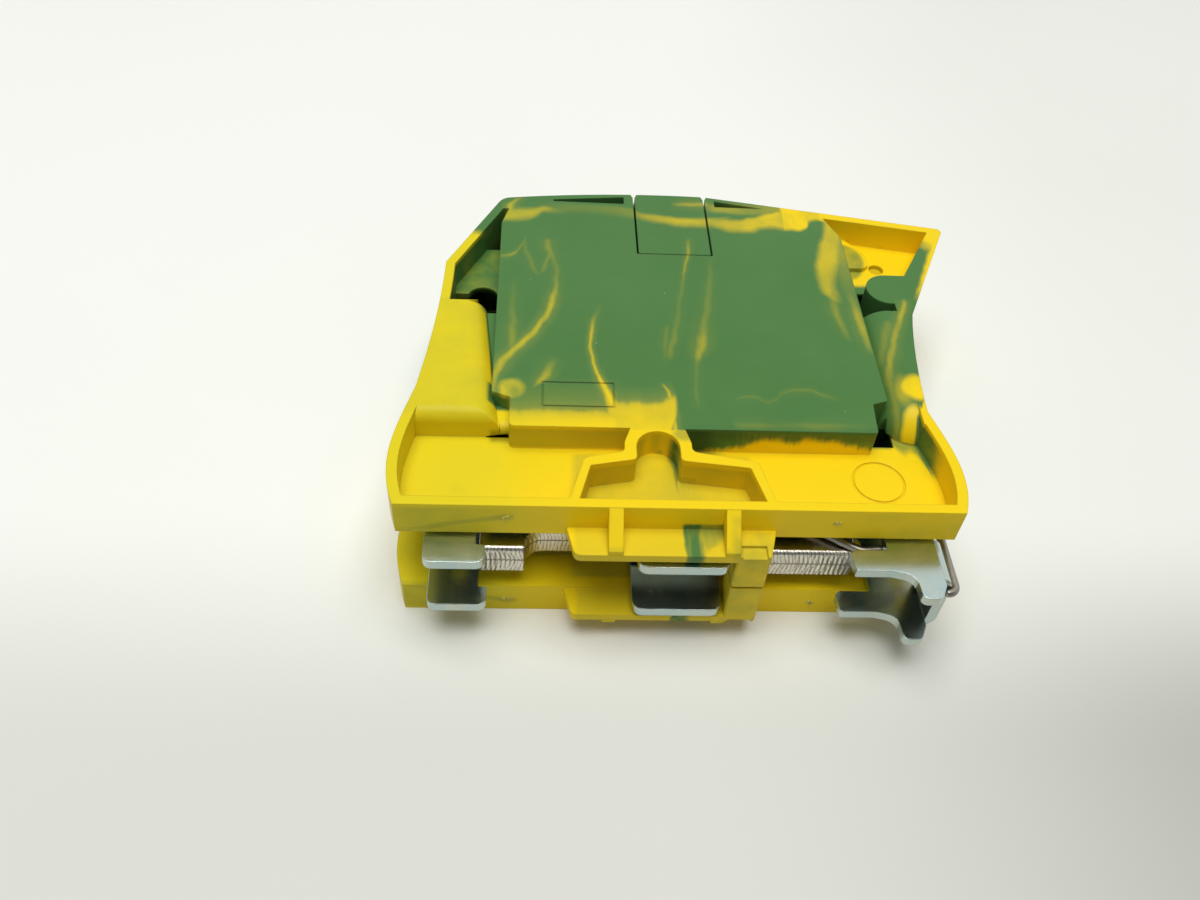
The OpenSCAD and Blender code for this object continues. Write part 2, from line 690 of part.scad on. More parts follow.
// A round wire along the points p
module wire(p, r, sides) {
    f = frames(p, 0, [0.1, 0.2, 1]);
    k = len(p);
    points = [for (i = [0:k - 1], j = [0:sides - 1]) let (a = 360 * j / sides)
        p[i] + r * (cos(a) * f[i][1] + sin(a) * cross(f[i][0], f[i][1]))];
    walls = [for (i = [0:k - 2], j = [0:sides - 1]) let (m = (j + 1) % sides)
        [i * sides + j, (i + 1) * sides + j, (i + 1) * sides + m, i * sides + m]];
    start = [[for (j = [0:sides - 1]) j]];
    end = [[for (j = [sides - 1:-1:0]) (k - 1) * sides + j]];
    polyhedron(points, concat(walls, start, end));
}

module latch_spring() {
    color(grey) placed() wire(spring_path, wire_r, 10);
}

// Contact strips and current bar

tenon_step = 1;
tenon_w = neck_w - 2 * tenon_step;

// A row of fine teeth along the rail, from x0 to x1
function fine_teeth(x0, x1) =
    let (n = floor((x1 - x0) / tooth_pitch), p = (x1 - x0) / n)
    [for (i = [0:n - 1]) each [[x0 + i * p, tooth_depth], [x0 + (i + 0.5) * p, 0]]];

strip_x0 = hook_x + 0.2;
strip_x1 = rail_x1 + 0.4;
pad_end = strip_x0 + pad_left_w;
pad_start = strip_x1 - pad_right_w;
strip = concat(
    fine_teeth(strip_x0, pad_end), [[pad_end, tooth_depth], [pad_end, 0.6]],
    arc([pad_end + strip_back - 0.6, 0.6], strip_back - 0.6, 180, 90, 6),
    arc([pad_start - strip_back + 0.6, 0.6], strip_back - 0.6, 90, 0, 6),
    fine_teeth(pad_start, strip_x1), [[strip_x1, tooth_depth], [strip_x1, strip_h],
    [middle_x + neck_w / 2, strip_h], [middle_x + neck_w / 2, bar_y - running],
    [middle_x + tenon_w / 2, bar_y - running], [middle_x + tenon_w / 2, bar_top],
    [middle_x - tenon_w / 2, bar_top], [middle_x - tenon_w / 2, bar_y - running],
    [middle_x - neck_w / 2, bar_y - running], [middle_x - neck_w / 2, strip_h], [strip_x0, strip_h]]);

// The upper strip, with the rolled-over edge that its pads keep from the punch
module contact_plate_upper() {
    roll = 0.6;
    color(tin) placed() difference() {
        slab(strip, mid_z, strip_high);
        rolled_edge([strip_x0 - 1, 0], [pad_end + 0.1, 0], roll, strip_high, mid_z);
        rolled_edge([pad_start - 0.1, 0], [strip_x1 + 1, 0], roll, strip_high, mid_z);
    }
}

module contact_plate_lower() {
    color(tin) placed() slab(strip, mid_z - strip_t, mid_z);
}

module current_bar() {
    color(copper) placed() difference() {
        block([chamber_left + 0.4, bar_y, mid_z - bar_half],
            [chamber_right + chamber_w - 0.4, bar_top, mid_z + bar_half]);
        block([middle_x - tenon_w / 2 - running, 0, mid_z - strip_t - running],
            [middle_x + tenon_w / 2 + running, far, strip_high + running]);
    }
}

// Clamps

module clamp_yoke(x) {
    inner = yoke_half - yoke_side;
    frame = soften([[yoke_y, mid_z - yoke_half, 2], [yoke_end, mid_z - yoke_half, 0.5],
        [yoke_end, mid_z + yoke_half, 0.5], [yoke_y, mid_z + yoke_half, 2]]);
    window = soften([[yoke_y + yoke_floor, mid_z - inner, 1], [thread_y, mid_z - inner, 0.3],
        [thread_y, mid_z + inner, 0.3], [yoke_y + yoke_floor, mid_z + inner, 1]]);
    color(zinc) placed() difference() {
        along_x(frame, x - yoke_w / 2, x + yoke_w / 2);
        along_x(window, x - yoke_w, x + yoke_w);
        post_y(x, thread_y - 1, yoke_end + 1, screw_d / 2 + running, screw_d / 2 + running);
    }
}

module clamp_yoke_left() {
    clamp_yoke(clamp_left);
}

module clamp_yoke_right() {
    clamp_yoke(clamp_right);
}

module clamp_screw(x) {
    slot_w = 1.2;
    slot_d = 1.4;
    point_h = 0.8;
    bevel = 0.4;
    color(zinc) placed() difference() {
        union() {
            post_y(x, bar_top + running, bar_top + point_h, screw_d / 2 - 0.7, screw_d / 2);
            post_y(x, bar_top + point_h, head_y + eps, screw_d / 2, screw_d / 2);
            post_y(x, head_y, head_end - bevel, head_d / 2, head_d / 2);
            post_y(x, head_end - bevel, head_end, head_d / 2, head_d / 2 - bevel);
        }
        block([x - head_d, head_end - slot_d, mid_z - slot_w / 2],
            [x + head_d, head_end + 1, mid_z + slot_w / 2]);
    }
}

module clamp_screw_left() {
    clamp_screw(clamp_left);
}

module clamp_screw_right() {
    clamp_screw(clamp_right);
}

upper_shell();
lower_shell();
foot_frame();
latch_foot();
latch_spring();
contact_plate_upper();
contact_plate_lower();
current_bar();
clamp_yoke_left();
clamp_yoke_right();
clamp_screw_left();
clamp_screw_right();
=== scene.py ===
import math
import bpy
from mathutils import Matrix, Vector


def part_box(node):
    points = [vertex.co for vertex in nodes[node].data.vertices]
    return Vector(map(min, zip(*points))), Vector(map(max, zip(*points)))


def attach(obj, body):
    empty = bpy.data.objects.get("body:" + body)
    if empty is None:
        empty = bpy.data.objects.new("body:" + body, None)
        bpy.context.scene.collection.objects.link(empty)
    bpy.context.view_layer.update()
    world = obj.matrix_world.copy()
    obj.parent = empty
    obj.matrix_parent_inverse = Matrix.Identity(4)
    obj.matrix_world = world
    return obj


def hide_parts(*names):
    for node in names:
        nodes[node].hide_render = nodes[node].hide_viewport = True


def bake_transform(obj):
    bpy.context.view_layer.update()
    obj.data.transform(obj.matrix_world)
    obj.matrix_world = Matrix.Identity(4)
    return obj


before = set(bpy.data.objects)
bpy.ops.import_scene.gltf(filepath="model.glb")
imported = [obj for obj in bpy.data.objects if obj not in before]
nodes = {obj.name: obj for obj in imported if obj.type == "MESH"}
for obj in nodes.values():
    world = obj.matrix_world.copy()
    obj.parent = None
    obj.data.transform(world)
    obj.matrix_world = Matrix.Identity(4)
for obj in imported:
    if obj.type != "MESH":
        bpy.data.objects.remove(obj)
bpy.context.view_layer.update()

from types import SimpleNamespace

import bmesh
import bpy
from mathutils import Matrix, Vector

scene = bpy.context.scene

MM = 0.001

# The drawing, in millimetres: x from the left end of the foot, y up from the rail, z up from the table.
# The upper contact strip starts at STRIP_START, and lies on the rail
STRIP_START = 7.4
strip_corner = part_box("contact_plate_upper")[0]
ORIGIN = Vector((STRIP_START - strip_corner.x / MM, -strip_corner.y / MM, 0))
THICKNESS = 16.0
SEAM = THICKNESS / 2


def at(x, y, z):
    """The place in the frame of a point of the drawing."""
    return (Vector((x, y, z)) - ORIGIN) * MM


# The camera, as solved from the photograph

TO_THE_RIGHT = Vector((0.99801218, -0.02529186, 0.05772355))
DOWNWARDS = Vector((0.02009718, -0.74039066, -0.67187631))
AHEAD = Vector((0.05973098, 0.67170082, -0.7384106))
CAMERA_PLACE = (12.47, -59.16, 88.53)
SENSOR_WIDTH = 36
FOCAL_LENGTH = 31.94
NEAREST = 0.005

camera = bpy.data.objects.new("camera", bpy.data.cameras.new("camera"))
camera.data.sensor_width = SENSOR_WIDTH
camera.data.lens = FOCAL_LENGTH
camera.data.clip_start = NEAREST
camera.matrix_world = Matrix((TO_THE_RIGHT, -DOWNWARDS, -AHEAD)).transposed().to_4x4()
camera.matrix_world.translation = at(*CAMERA_PLACE)
scene.collection.objects.link(camera)
scene.camera = camera
scene.view_settings.view_transform = "Standard"


# Fields over a surface

class Field:
    """A number that varies over a surface: the output of a shader node."""

    def __init__(self, socket):
        self.socket = socket
        self.tree = socket.id_data

    def calc(self, operation, *others):
        node = self.tree.nodes.new("ShaderNodeMath")
        node.operation = operation
        for slot, value in zip(node.inputs, (self, *others)):
            feed(slot, value)
        return Field(node.outputs[0])

    def __add__(self, other):
        return self.calc("ADD", other)

    def __sub__(self, other):
        return self.calc("SUBTRACT", other)

    def __mul__(self, other):
        return self.calc("MULTIPLY", other)

    def __truediv__(self, other):
        return self.calc("DIVIDE", other)

    def __abs__(self):
        return self.calc("ABSOLUTE")

    def __or__(self, other):
        return self.calc("MAXIMUM", other)

    def __and__(self, other):
        return self.calc("MINIMUM", other)

    def __invert__(self):
        node = self.tree.nodes.new("ShaderNodeMath")
        node.operation = "SUBTRACT"
        node.inputs[0].default_value = 1
        feed(node.inputs[1], self)
        return Field(node.outputs[0])


def feed(slot, value):
    """Gives an input a field, a socket or a plain value."""
    if isinstance(value, Field):
        slot.id_data.links.new(value.socket, slot)
    elif isinstance(value, bpy.types.NodeSocket):
        slot.id_data.links.new(value, slot)
    else:
        slot.default_value = value


def ramp(field, start, end):
    """0 up to start and 1 from end on, with a soft step between. Start may lie above end."""
    node = field.tree.nodes.new("ShaderNodeMapRange")
    node.interpolation_type = "SMOOTHSTEP"
    feed(node.inputs["Value"], field)
    feed(node.inputs["From Min"], start)
    feed(node.inputs["From Max"], end)
    return Field(node.outputs["Result"])


def between(field, low, high, soft):
    """1 from low to high and 0 outside, with soft edges."""
    return ramp(field, low - soft, low + soft) * ramp(field, high + soft, high - soft)


def curve(field, points):
    """A value that runs smoothly through the points (place along the field, value)."""
    places = [p[0] for p in points]
    values = [p[1] for p in points]
    start, length = min(places), max(places) - min(places)
    low, reach = min(values), max(max(values) - min(values), 1e-6)
    place = (field - start) / length
    node = field.tree.nodes.new("ShaderNodeFloatCurve")
    node.mapping.extend = "HORIZONTAL"
    line = node.mapping.curves[0]
    spots = sorted(((p - start) / length, (v - low) / reach) for p, v in points)
    line.points[0].location = spots[0]
    line.points[1].location = spots[-1]
    for spot in spots[1:-1]:
        line.points.new(*spot)
    for point in line.points:
        point.handle_type = "AUTO_CLAMPED"
    node.mapping.update()
    feed(node.inputs["Value"], place)
    return Field(node.outputs[0]) * reach + low


def wisp(along, across, points, fibre):
    """A smoky line through the points (along, across, half width, strength), uneven by its fibres."""
    middle = curve(along, [(a, c) for a, c, h, s in points])
    half = curve(along, [(a, h) for a, c, h, s in points])
    strength = curve(along, [(a, s) for a, c, h, s in points])
    distance = abs(across - middle) / half
    core = ramp(distance, 1.5, 0)
    halo = ramp(distance, 3.6, 0) * 0.22
    return (core | halo) * strength * (fibre * 0.9 + 1)


def veil(along, across, points, fibre, soft_low=0.8, soft_high=0.8):
    """A sheet of smoke between two edges, given by the points (along, low edge, high edge, strength)."""
    low = curve(along, [(a, lo) for a, lo, hi, s in points])
    high = curve(along, [(a, hi) for a, lo, hi, s in points])
    strength = curve(along, [(a, s) for a, lo, hi, s in points])
    inside = ramp(across - low, -soft_low, soft_low) * ramp(high - across, -soft_high, soft_high)
    return inside * strength * (fibre * 0.7 + 1)


def blob(x, y, middle, size, soft=0.45):
    """A soft-edged ellipse."""
    dx = (x - middle[0]) / size[0]
    dy = (y - middle[1]) / size[1]
    return ramp((dx * dx + dy * dy).calc("SQRT"), 1 + soft, 1 - soft)


class Surface:
    """A new material's tree, with the drawing's coordinates over it."""

    def __init__(self, name):
        self.material = bpy.data.materials.new(name)
        self.material.use_nodes = True
        self.tree = self.material.node_tree
        self.shader = self.tree.nodes["Principled BSDF"]
        self.in_frame = self.tree.nodes.new("ShaderNodeTexCoord").outputs["Object"]
        to_drawing = self.tree.nodes.new("ShaderNodeVectorMath")
        to_drawing.operation = "MULTIPLY_ADD"
        feed(to_drawing.inputs[0], self.in_frame)
        to_drawing.inputs[1].default_value = (1 / MM, 1 / MM, 1 / MM)
        to_drawing.inputs[2].default_value = ORIGIN
        self.place = to_drawing.outputs[0]
        parts = self.tree.nodes.new("ShaderNodeSeparateXYZ")
        feed(parts.inputs[0], self.place)
        self.x, self.y, self.z = (Field(parts.outputs[i]) for i in range(3))

    def noise(self, per_mm, detail=2.0, shift=(0, 0, 0)):
        """Cloudy noise about 0, from about -0.5 to 0.5. per_mm is its fineness along x, y and z.

        The place comes straight from the frame. By way of self.place, Cycles would leave the noises
        until last, and run out of room for the values that wait for them.
        """
        scaled = self.tree.nodes.new("ShaderNodeMapping")
        feed(scaled.inputs["Vector"], self.in_frame)
        scaled.inputs["Scale"].default_value = [f / MM for f in per_mm]
        scaled.inputs["Location"].default_value = [o * f + s for o, f, s in zip(ORIGIN, per_mm, shift)]
        node = self.tree.nodes.new("ShaderNodeTexNoise")
        feed(node.inputs["Vector"], scaled.outputs[0])
        node.inputs["Scale"].default_value = 1
        node.inputs["Detail"].default_value = detail
        return Field(node.outputs["Fac"]) - 0.5

    def mix(self, share, first, second):
        """The colour first where the share is 0, and second where it is 1."""
        node = self.tree.nodes.new("ShaderNodeMix")
        node.data_type = "RGBA"
        feed(node.inputs["Factor"], share)
        for slot, value in ((node.inputs[6], first), (node.inputs[7], second)):
            feed(slot, (*value, 1) if isinstance(value, tuple) else value)
        return node.outputs[2]

    def relief(self, height, distance, edge):
        """Bumps of the given height, and edges rounded to a radius, both in millimetres."""
        rounded = self.tree.nodes.new("ShaderNodeBevel")
        rounded.samples = 4
        rounded.inputs["Radius"].default_value = edge * MM
        node = self.tree.nodes.new("ShaderNodeBump")
        node.inputs["Distance"].default_value = distance * MM
        feed(node.inputs["Height"], height)
        feed(node.inputs["Normal"], rounded.outputs[0])
        feed(self.shader.inputs["Normal"], node.outputs[0])

    def set(self, **values):
        for name, value in values.items():
            slot = self.shader.inputs[name.replace("_", " ").title().replace("Ior", "IOR")]
            feed(slot, (*value, 1) if isinstance(value, tuple) else value)


# The marbled plastic

LEMON = (0.78, 0.635, 0.012)
GOLDEN = (0.93, 0.665, 0.006)
GREEN = (0.062, 0.180, 0.042)
LIGHT_GREEN = (0.0837, 0.2052, 0.0546)
# The near-black green of painted shade, in the hollows and inside the block
PAINTED_SHADE_GREEN = (0.010, 0.034, 0.008)
SPECK = (0.75, 0.78, 0.55)

# The edges of the raised panel, and the levels between which the face's paint takes over from the walls'
PANEL_LEFT = 7.95
PANEL_RIGHT = 46.85
PANEL_FRONT = 9.5
FACE_STARTS = (15.35, 15.8)

# Levels below which the plastic around the foot is painted dark as painted shade, in the upper half and in
# the lower
GLOOM_UPPER = 12.7
GLOOM_LOWER = 9.9

# Painted shade in darker spots: the ranges in x and y with their softness, the levels where each starts and
# is full, and its share
SHADED = [
    ((26.6, 29.5, 1.2), (9.2, 10.4, 0.2), (15.9, 15.6), 0.6),
    ((8, 9.9, 0.3), (10.4, 12.2, 0.4), (14.4, 13.4), 0.5),
    ((50, 53, 0.1), (36.5, 40.5, 0.1), (12.8, 12.6), 0.3),
    ((25.1, 26.5, 0.3), (8.2, 10.6, 0.3), (15.7, 15.2), 0.4),
]


def largest(fields):
    """The largest of some fields at each place."""
    total = fields[0]
    for field in fields[1:]:
        total = total | field
    return total


def panel_smoke(x, y, down, across, cloudy):
    """The share of yellow smoke in the green of the raised panel.

    Down and across are fibres along y and x, and cloudy breaks up the sheets.
    """
    hanging = down * 0.6 + cloudy
    lying = across * 0.6 + cloudy
    left = [
        wisp(y, x, [(39, 13.3, 0.4, 0), (37.2, 13.3, 0.4, 0.18), (36, 13.6, 0.4, 0.13), (34, 14.2, 0.35, 0.1),
                    (31, 14.25, 0.35, 0.16), (28.5, 13.9, 0.4, 0.36), (26, 13.3, 0.42, 0.44),
                    (23.5, 12.2, 0.45, 0.48), (21.5, 11, 0.5, 0.52), (19.6, 9.6, 0.55, 0.5),
                    (17.8, 8.6, 0.55, 0.44), (15.5, 8.2, 0.4, 0.35), (13.8, 8.1, 0.4, 0.3)], down),
        wisp(y, x, [(32, 9.8, 0.4, 0), (28, 9.7, 0.4, 0.06), (24, 9.8, 0.45, 0.14), (21.5, 9.9, 0.5, 0.2),
                    (20, 9.6, 0.5, 0)], down),
        wisp(y, x, [(28, 19, 0.3, 0), (26, 18.5, 0.3, 0.08), (24.5, 18.1, 0.25, 0.28),
                    (22.5, 17.85, 0.2, 0.52), (20, 17.8, 0.2, 0.52), (17.5, 18.2, 0.24, 0.58),
                    (15.5, 18.8, 0.32, 0.78), (13.8, 19.4, 0.55, 0.8), (12.2, 20, 0.9, 0.6)], down),
        wisp(y, x, [(19.3, 14, 0.4, 0), (17.5, 13.5, 0.5, 0.22), (16.2, 13, 0.5, 0.38),
                    (15.2, 12.4, 0.4, 0.2), (14.4, 12, 0.4, 0)], down),
        wisp(y, x, [(37, 13.4, 0.3, 0), (35.8, 13.4, 0.3, 0.12), (33.8, 13, 0.3, 0.14),
                    (32.4, 12.6, 0.3, 0)], down),
        wisp(x, y, [(7.9, 35.3, 0.3, 0.1), (9.5, 35.8, 0.35, 0.22), (10.5, 37.6, 0.35, 0.14),
                    (10.9, 39, 0.3, 0)], across),
        wisp(y, x, [(38.6, 10.6, 0.3, 0), (36.5, 10.9, 0.3, 0.08), (34, 11.6, 0.35, 0.09),
                    (32, 12.3, 0.3, 0)], down),
        veil(x, y, [(7.9, 41.8, 43.6, 0.2), (9, 42, 44.1, 0.5), (10.4, 42.2, 44.2, 0.46),
                    (12.1, 43.2, 44.6, 0.52), (13, 43.9, 44.8, 0.42), (14.4, 43.9, 44.5, 0.16),
                    (16.5, 44, 44.5, 0)], lying, 0.7, 0.6),
        wisp(y, x, [(41.8, 8.9, 0.4, 0), (43, 8.9, 0.55, 0.45), (44.5, 8.9, 0.5, 0.5), (45.8, 9.5, 0.4, 0.35),
                    (46.6, 10.2, 0.3, 0)], hanging),
        veil(x, y, [(11, 44, 45.6, 0), (14, 44, 45.6, 0.05), (19, 43.9, 45.4, 0.09), (22.8, 43.3, 45, 0.14),
                    (24.2, 43, 44, 0.32), (26.5, 42.4, 43.7, 0.44), (29, 41.9, 43.4, 0.5),
                    (31.2, 42, 43.5, 0.44), (33, 42.4, 43.7, 0.3), (35, 43, 44, 0)], lying, 0.7, 0.4),
    ]
    middle = [
        wisp(y, x, [(40, 29.4, 0.3, 0), (38, 29.05, 0.3, 0.18), (36.5, 28.8, 0.22, 0.26),
                    (34.5, 28.45, 0.2, 0.26), (32, 28, 0.25, 0.11), (28, 27.3, 0.35, 0.06),
                    (24, 26.6, 0.4, 0.09), (21.5, 26.1, 0.4, 0.13), (19, 25.6, 0.4, 0)], down),
        wisp(y, x, [(25, 25.9, 0.3, 0), (22.5, 25.5, 0.3, 0.09), (20, 25.3, 0.3, 0.05),
                    (18, 25.2, 0.3, 0)], down),
        wisp(y, x, [(37, 31.6, 0.4, 0), (33, 31.1, 0.4, 0.06), (29, 30.5, 0.45, 0.09),
                    (26, 29.9, 0.5, 0.11), (23.5, 29.4, 0.6, 0.18), (21.5, 29.1, 0.55, 0.32),
                    (20, 28.6, 0.4, 0.26), (18.5, 28.3, 0.3, 0.06), (14, 28, 0.3, 0.05),
                    (12, 28, 0.3, 0)], down),
        wisp(x, y, [(27.5, 46, 0.4, 0), (29.5, 46.1, 0.5, 0.3), (31.3, 46.2, 0.5, 0.34),
                    (32.4, 46.3, 0.5, 0.1)], across),
        veil(x, y, [(30.4, 42.3, 43.4, 0), (31.4, 42.2, 43.6, 0.3), (33.4, 41.6, 43.4, 0.46),
                    (35, 41.2, 43.3, 0.52), (36.5, 41.3, 43.7, 0.6), (38, 42, 44.3, 0.68),
                    (39.5, 42.2, 45, 0.7), (40.5, 42, 45.4, 0.6), (41.5, 42, 45.4, 0)], lying, 0.8, 0.5),
        veil(x, y, [(31, 45.3, 46.3, 0), (32, 45, 46.3, 0.12), (34, 44.8, 46.4, 0.28), (37, 44.6, 46.6, 0.2),
                    (40.5, 45, 46.8, 0.28)], lying, 0.5, 0.5),
        wisp(x, y, [(31.5, 13.7, 0.2, 0), (33.5, 14.2, 0.25, 0.06), (35, 13.5, 0.25, 0.05),
                    (36.5, 14.9, 0.25, 0.06), (38.5, 15.4, 0.3, 0.09), (40.5, 14.8, 0.3, 0.07),
                    (42.5, 13.9, 0.2, 0)], across),
        wisp(x, y, [(31, 10.4, 0.5, 0), (33, 10.4, 0.5, 0.09), (36, 10.4, 0.5, 0.05), (39.5, 10.4, 0.5, 0.1),
                    (42, 10.5, 0.5, 0.05), (45.5, 10.6, 0.4, 0)], across),
    ]
    right = [
        veil(x, y, [(40.1, 42, 48, 0.3), (40.6, 41.8, 48, 0.85), (42, 41.8, 48, 0.96), (43, 42.2, 48, 0.92),
                    (43.8, 43.6, 48, 0.86), (45, 44, 48, 0.92), (46.9, 43.2, 48, 0.92)], hanging, 0.5, 0.3)
        * ramp(x, 40.2, 40.7),
        veil(y, x, [(45, 45.6, 47.8, 0.5), (42, 45.2, 47.5, 0.54), (40, 44.6, 47, 0.54),
                    (38, 44, 46.4, 0.56), (35.5, 43.4, 45.7, 0.57), (33, 43.1, 44.9, 0.47),
                    (31, 43.1, 44.6, 0.42), (29.6, 43.8, 44.7, 0.3),
                    (28.6, 44, 44.7, 0)], hanging, 0.5, 0.8),
        veil(y, x, [(43, 46, 48, 0.4), (38, 45.6, 48, 0.28), (35, 45.4, 48, 0.16), (31, 45.4, 48, 0.06),
                    (28, 45.4, 48, 0)], hanging, 0.6, 0.5),
        wisp(y, x, [(30, 44, 0.4, 0), (28, 44, 0.5, 0.17), (25.5, 44.3, 0.45, 0.15),
                    (22.5, 44.9, 0.4, 0)], down),
        wisp(y, x, [(32, 46.1, 0.5, 0), (28.5, 46.2, 0.5, 0.2), (26, 46.4, 0.5, 0.37),
                    (23.5, 46.5, 0.45, 0.27), (20.5, 46.9, 0.4, 0)], down),
    ]
    return largest(left + middle + right)


def flow(s, x, y, z):
    """The places on a surface, their noises, and x and y bent by these as u and v."""
    drift_x = s.noise((0.2, 0.2, 0.2), 2)
    drift_y = s.noise((0.2, 0.2, 0.2), 2, (7.3, 2.1, 4.4))
    curl_x = s.noise((0.5, 0.5, 0.5), 3, (1, 6, 2))
    curl_y = s.noise((0.5, 0.5, 0.5), 3, (8, 3, 5))
    return SimpleNamespace(
        x=x, y=y, z=z,
        u=x + drift_x * 0.4 + curl_x * 0.6,
        v=y + drift_y * 0.4 + curl_y * 0.6,
        cloudy=s.noise((0.6, 0.5, 0.6), 4, (6, 2, 7)),
        down=s.noise((1.5, 0.2, 1.5), 2, (3, 0, 1)),
        across=s.noise((0.22, 1.3, 1.3), 2, (0, 3, 6)),
        fringe=s.noise((0.75, 0.1, 0.1), 4, (0, 5, 0)),
        swirl=s.noise((0.35, 0.35, 0.35), 4, (1.7, 9.2, 0)),
        streaks=s.noise((3.2, 0.2, 0.5), 3, (4, 1, 2)),
    )


def panel_green(m):
    """The share of green on the face of the raised panel."""
    x, y, u, v = m.x, m.y, m.u, m.v
    smoke = panel_smoke(u, v, m.down, m.across, m.cloudy)
    low_band = curve(v + m.fringe * 0.9, [
        (9.4, 1), (10.3, 0.93), (11.2, 0.76), (11.7, 0.52), (12.1, 0.2), (13, 0.11), (14.5, 0.05), (16.5, 0)])
    low_band = low_band * between(x, 9.4, 20.4, 0.7)
    seam = curve(y, [(9, 25.1), (13.6, 25.9), (16, 25.6)])
    tips = curve(x, [(19, 13.4), (20, 13), (22.5, 12.8), (23.8, 13), (24.6, 13.3), (25.4, 13.6)])
    mid_band = curve(v + m.fringe * 1.4 - tips, [
        (-4.5, 0.9), (-2.5, 0.8), (-0.5, 0.7), (0.1, 0.4), (0.6, 0.12), (1.6, 0.04), (2.6, 0)])
    mid_band = mid_band * ramp(u, 18.9, 19.7) * ramp(x - seam, 0.25, -0.25) * (m.swirl * 0.5 + 1)
    strand = wisp(y, u, [(12.6, 25.5, 0.3, 0.6), (14.4, 25.3, 0.25, 0.55), (15.2, 25, 0.2, 0.4),
                         (15.9, 24.6, 0.2, 0)], m.down)
    ring = blob(u, v, (9.9, 14.6), (1.3, 1.3), 0.35) * 0.5
    ring = ring * ~(blob(u, v, (10.4, 14.2), (0.5, 0.7), 0.6) * 0.4)
    ring = ring | blob(u, v, (9.2, 14.2), (0.4, 1.2), 0.6) * 0.66
    return ~(smoke | low_band | mid_band | strand | ring)


def rim_smoke(m):
    """Adds to the flow what the face of the rims and the walls below it share."""
    y, u, v = m.y, m.u, m.v
    m.left_tint = between(m.x, -2, 8.2, 0.3) * between(y, 11, 28, 0.5) * (m.swirl * 0.3 + 0.09)
    m.lobe = largest([
        blob(u, v, (50.2, 16.1), (1.5, 1.7), 0.3) * (m.cloudy * 0.6 + 0.92),
        blob(u, v, (49.4, 11.8), (1, 1.9), 0.35) * 0.92,
        blob(u, v, (48.9, 15.8), (0.8, 1.8), 0.7) * 0.4,
    ])
    m.right_lines = (
        wisp(y, u, [(30, 52, 0.3, 0), (28, 51.4, 0.4, 0.4), (24.3, 49.9, 0.4, 0.28), (20, 48.5, 0.4, 0.3),
                    (17.6, 47.9, 0.45, 0.2)], m.down)
        | wisp(y, u, [(26.5, 49.5, 0.4, 0), (24.6, 49.1, 0.6, 0.16), (22, 48.2, 0.5, 0.14),
                      (19, 47.6, 0.4, 0)], m.down)
    )
    m.wall_edge = curve(y, [(5.7, 51.1), (8.2, 50.5), (10.3, 50.1), (11.9, 49.8), (13.5, 50.3), (15, 51)])
    m.band_edge = curve(y, [(27, 52.1), (34, 55.05), (41, 57.75), (45, 58.7)])


def face_green(m):
    """The share of green on the face: the panel, and the rims on both sides of it."""
    x, y, u, v = m.x, m.y, m.u, m.v
    panel = panel_green(m)
    rim_smoke(m)
    left_rim = ramp(y + m.swirl * 3, 39, 40) | m.left_tint
    right_low = ramp(y + m.swirl * 2, 18.2, 17.4) * ramp(x - m.wall_edge, -0.2, 0.1) | ramp(y, 10, 9)
    outer_band = ramp(u - m.band_edge, -0.4, 0.3) * ramp(y, 29, 33)
    far_corner = ramp(u + v + m.cloudy * 3, 94.5, 98.5)
    right_rim = ~(m.lobe | m.right_lines | right_low | outer_band | far_corner)
    wing_top = ramp(v + (x - 45) * 0.28, 43.4, 44.2) * ramp(x, 44.6, 45.6)

    face = left_rim + (panel - left_rim) * ramp(x, PANEL_LEFT - 0.1, PANEL_LEFT + 0.1)
    face = face + (right_rim - face) * ramp(x, PANEL_RIGHT - 0.1, PANEL_RIGHT + 0.1)
    face = face * ~wing_top
    front_edge = ramp(y, PANEL_FRONT - 0.2, PANEL_FRONT + 0.2)
    return face * front_edge | blob(u, v, (26.3, 9.1), (1, 0.8), 0.5) * 0.5


def front_wall_green(m):
    """The green that drips down the front wall of the panel."""
    x, y, z = m.x, m.y, m.z
    drip = curve(x, [(26, 12.6), (29.8, 13.4), (32.4, 13.9), (34.6, 14.8), (37, 14.35), (38.8, 14.9),
                     (40.6, 14.7), (42.7, 14.3), (45, 13.5)])
    wall = between(x, 25.6, 46, 0.4) * ramp(z + m.fringe * 1.4 + m.streaks * 0.9 - drip, -0.6, 0.5)
    wall = wall * ramp(x + m.swirl * 3, 34, 29) * 0.15 + wall * (m.streaks * 0.3 + 0.92)
    left_part = between(x, 9.3, 25.5, 0.2) * between(y, 9.3, 10.2, 0.1) * ramp(z, 13, 13.2) * 0.34
    return wall * between(y, 9.2, 12, 0.2) | left_part


def arch_green(m):
    """The dark wedge in the arched pocket, a spot of painted shade in green at the foot of its back wall, and
    the haze on its floor.
    """
    y, u = m.y, m.u
    wedge = wisp(y, u, [(11, 25.3, 0.7, 1), (9.6, 25.7, 0.8, 1), (8.4, 25.8, 0.65, 1), (7, 25.7, 0.4, 0.85),
                        (5, 25.8, 0.25, 0.6), (2.5, 26.2, 0.6, 0.2), (1.2, 26.4, 0.5, 0)], m.down)
    # Painted shade: a green spot at the foot of the arch's back wall, where the shadow falls
    spot = blob(u, m.v, (24.3, 9.8), (0.9, 0.5), 0.4) * ramp(m.z, 13.9, 13.4) * 0.95
    haze = between(m.x, 16, 33, 0.5) * between(y, 1.2, 9, 0.3)
    haze = haze * ramp(m.z, 15.6, 15.2) * (m.swirl * 0.4 + 0.28)
    return largest([wedge, spot, haze])


